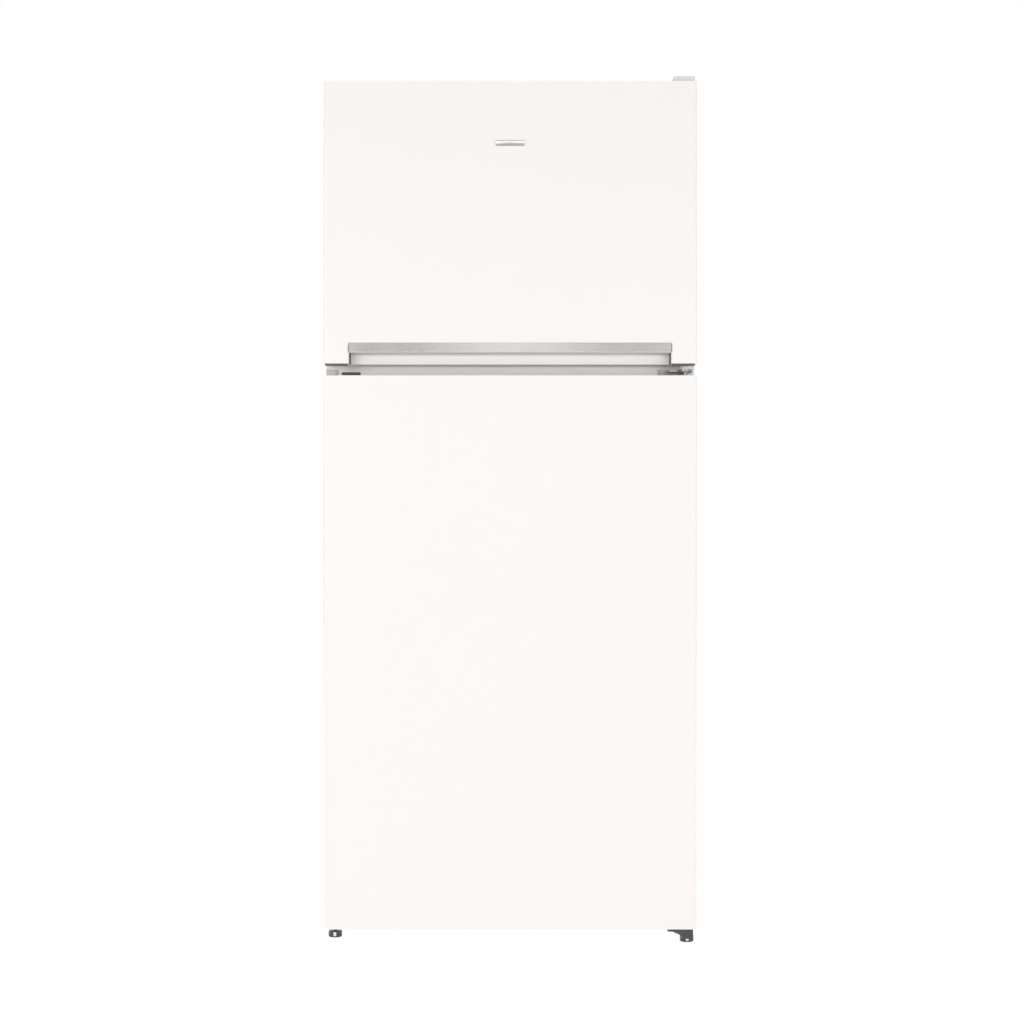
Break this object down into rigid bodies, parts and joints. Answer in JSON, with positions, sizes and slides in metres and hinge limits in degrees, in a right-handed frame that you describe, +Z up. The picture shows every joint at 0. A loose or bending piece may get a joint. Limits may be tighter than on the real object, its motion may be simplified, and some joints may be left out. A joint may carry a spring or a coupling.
{
  "type": "top freezer refrigerator",
  "caption": "Tall white refrigerator with a freezer door above a larger fridge door, a silver finger-grip strip between them, shelves, crispers and an ice maker inside.",
  "frame": {"origin": "on the floor, in the middle of the footprint", "axes": "+Z up, doors face -Y, +X to the viewer's right; doors are shut at rest"},
  "size_m": [0.7, 0.6908, 1.636],
  "materials": {
    "painted_sheet": "satin",
    "galvanised_sheet": "satin",
    "foam": "matte",
    "liner_plastic": "satin",
    "compressor_paint": "satin",
    "black_rubber": "matte",
    "grey_plastic": "matte",
    "condenser_paint": "satin",
    "copper": "satin",
    "bare_aluminium": "satin",
    "diffuser": "satin",
    "shelf_glass": "gloss",
    "zinc_steel": "satin",
    "white_plastic": "satin",
    "screw_steel": "satin",
    "ice_plastic": "satin",
    "clear_plastic": "gloss",
    "light_grey_plastic": "satin",
    "gasket_vinyl": "matte",
    "silver_strip": "satin",
    "bush_plastic": "satin"
  },
  "bodies": {
    "cabinet": {"cabinet_shell": "painted_sheet", "front_rails": "painted_sheet", "base_pan": "galvanised_sheet", "back_panel": "galvanised_sheet", "cabinet_foam": "foam", "freezer_liner": "liner_plastic", "fridge_liner": "liner_plastic", "compressor_base": "galvanised_sheet", "compressor": "compressor_paint", "compressor_mounts": "black_rubber", "drain_pan": "grey_plastic", "condenser_tube": "condenser_paint", "condenser_wires": "condenser_paint", "wall_spacers": "grey_plastic", "refrigerant_pipes": "copper", "evaporator_cover": "liner_plastic", "evaporator": "bare_aluminium", "air_duct": "liner_plastic", "lamp_housing": "liner_plastic", "lamp_cover": "diffuser", "shelf_glasses": "shelf_glass", "shelf_trims": "liner_plastic", "top_hinge": "zinc_steel", "top_hinge_cover": "white_plastic", "middle_hinge": "zinc_steel", "bottom_brackets": "zinc_steel", "screws": "screw_steel", "cord_gland": "black_rubber"},
    "freezer_door": {"freezer_door_skin": "painted_sheet", "freezer_door_foam": "foam", "freezer_door_liner": "liner_plastic", "freezer_door_gasket": "gasket_vinyl", "freezer_door_top_cap": "white_plastic", "freezer_door_grip_cap": "light_grey_plastic", "handle_strip": "silver_strip", "badge": "silver_strip", "freezer_balconies": "clear_plastic", "freezer_door_bushes": "bush_plastic"},
    "fridge_door": {"fridge_door_skin": "painted_sheet", "fridge_door_foam": "foam", "fridge_door_liner": "liner_plastic", "fridge_door_gasket": "gasket_vinyl", "fridge_door_top_cap": "white_plastic", "fridge_door_bottom_cap": "white_plastic", "fridge_door_bushes": "bush_plastic", "fridge_balconies": "clear_plastic", "egg_tray": "white_plastic"},
    "crisper_left": {"crisper_left": "clear_plastic"},
    "crisper_right": {"crisper_right": "clear_plastic"},
    "ice_bin": {"ice_bin": "clear_plastic"},
    "ice_tray": {"ice_tray": "ice_plastic"},
    "thermostat_knob": {"thermostat_knob": "white_plastic"},
    "light_switch": {"light_switch": "white_plastic"},
    "fan_rotor": {"fan_rotor": "white_plastic"},
    "foot_left": {"foot_left": "grey_plastic"},
    "foot_right": {"foot_right": "grey_plastic"},
    "roller_left": {"roller_left": "grey_plastic"},
    "roller_right": {"roller_right": "grey_plastic"},
    "dairy_lid": {"dairy_lid": "clear_plastic"},
    "bottle_guard": {"bottle_guard": "white_plastic"}
  },
  "joints": [
    {"name": "freezer_door_hinge", "type": "hinge", "parent": "cabinet", "child": "freezer_door", "pos_m": [0.33, -0.315, 1.3565], "axis": [0, 0, 1], "range_deg": [0, 130]},
    {"name": "fridge_door_hinge", "type": "hinge", "parent": "cabinet", "child": "fridge_door", "pos_m": [0.33, -0.315, 0.55], "axis": [0, 0, 1], "range_deg": [0, 130]},
    {"name": "crisper_left_slide", "type": "slide", "parent": "cabinet", "child": "crisper_left", "axis": [0, -1, 0], "range_m": [0, 0.025]},
    {"name": "crisper_right_slide", "type": "slide", "parent": "cabinet", "child": "crisper_right", "axis": [0, -1, 0], "range_m": [0, 0.025]},
    {"name": "ice_bin_slide", "type": "slide", "parent": "cabinet", "child": "ice_bin", "axis": [0, -1, 0], "range_m": [0, 0.028]},
    {"name": "ice_tray_twist", "type": "hinge", "parent": "ice_bin", "child": "ice_tray", "pos_m": [-0.22, -0.04, 1.25], "axis": [0, 1, 0], "range_deg": [0, 150]},
    {"name": "thermostat_knob_turn", "type": "hinge", "parent": "cabinet", "child": "thermostat_knob", "pos_m": [0.055, -0.127, 1.027], "axis": [0, -1, 0], "range_deg": [0, 270]},
    {"name": "light_switch_press", "type": "slide", "parent": "cabinet", "child": "light_switch", "axis": [0, 1, 0], "range_m": [0, 0.003], "stiffness_N_per_m": 200, "springref_m": -0.005},
    {"name": "fan_spin", "type": "hinge", "parent": "cabinet", "child": "fan_rotor", "pos_m": [0, 0.1935, 1.4], "axis": [0, 1, 0], "continuous": true},
    {"name": "foot_left_screw", "type": "hinge", "parent": "cabinet", "child": "foot_left", "pos_m": [-0.335, -0.248, 0.01], "axis": [0, 0, 1], "continuous": true},
    {"name": "foot_right_screw", "type": "hinge", "parent": "cabinet", "child": "foot_right", "pos_m": [0.335, -0.292, 0.01], "axis": [0, 0, 1], "continuous": true},
    {"name": "roller_left_spin", "type": "hinge", "parent": "cabinet", "child": "roller_left", "pos_m": [-0.3, 0.27, 0.017], "axis": [1, 0, 0], "continuous": true},
    {"name": "roller_right_spin", "type": "hinge", "parent": "cabinet", "child": "roller_right", "pos_m": [0.3, 0.27, 0.017], "axis": [1, 0, 0], "continuous": true},
    {"name": "dairy_lid_hinge", "type": "hinge", "parent": "fridge_door", "child": "dairy_lid", "pos_m": [0, -0.283, 0.891], "axis": [1, 0, 0], "range_deg": [0, 85]},
    {"name": "bottle_guard_slide", "type": "slide", "parent": "fridge_door", "child": "bottle_guard", "axis": [1, 0, 0], "range_m": [-0.15, 0.15]}
  ]
}
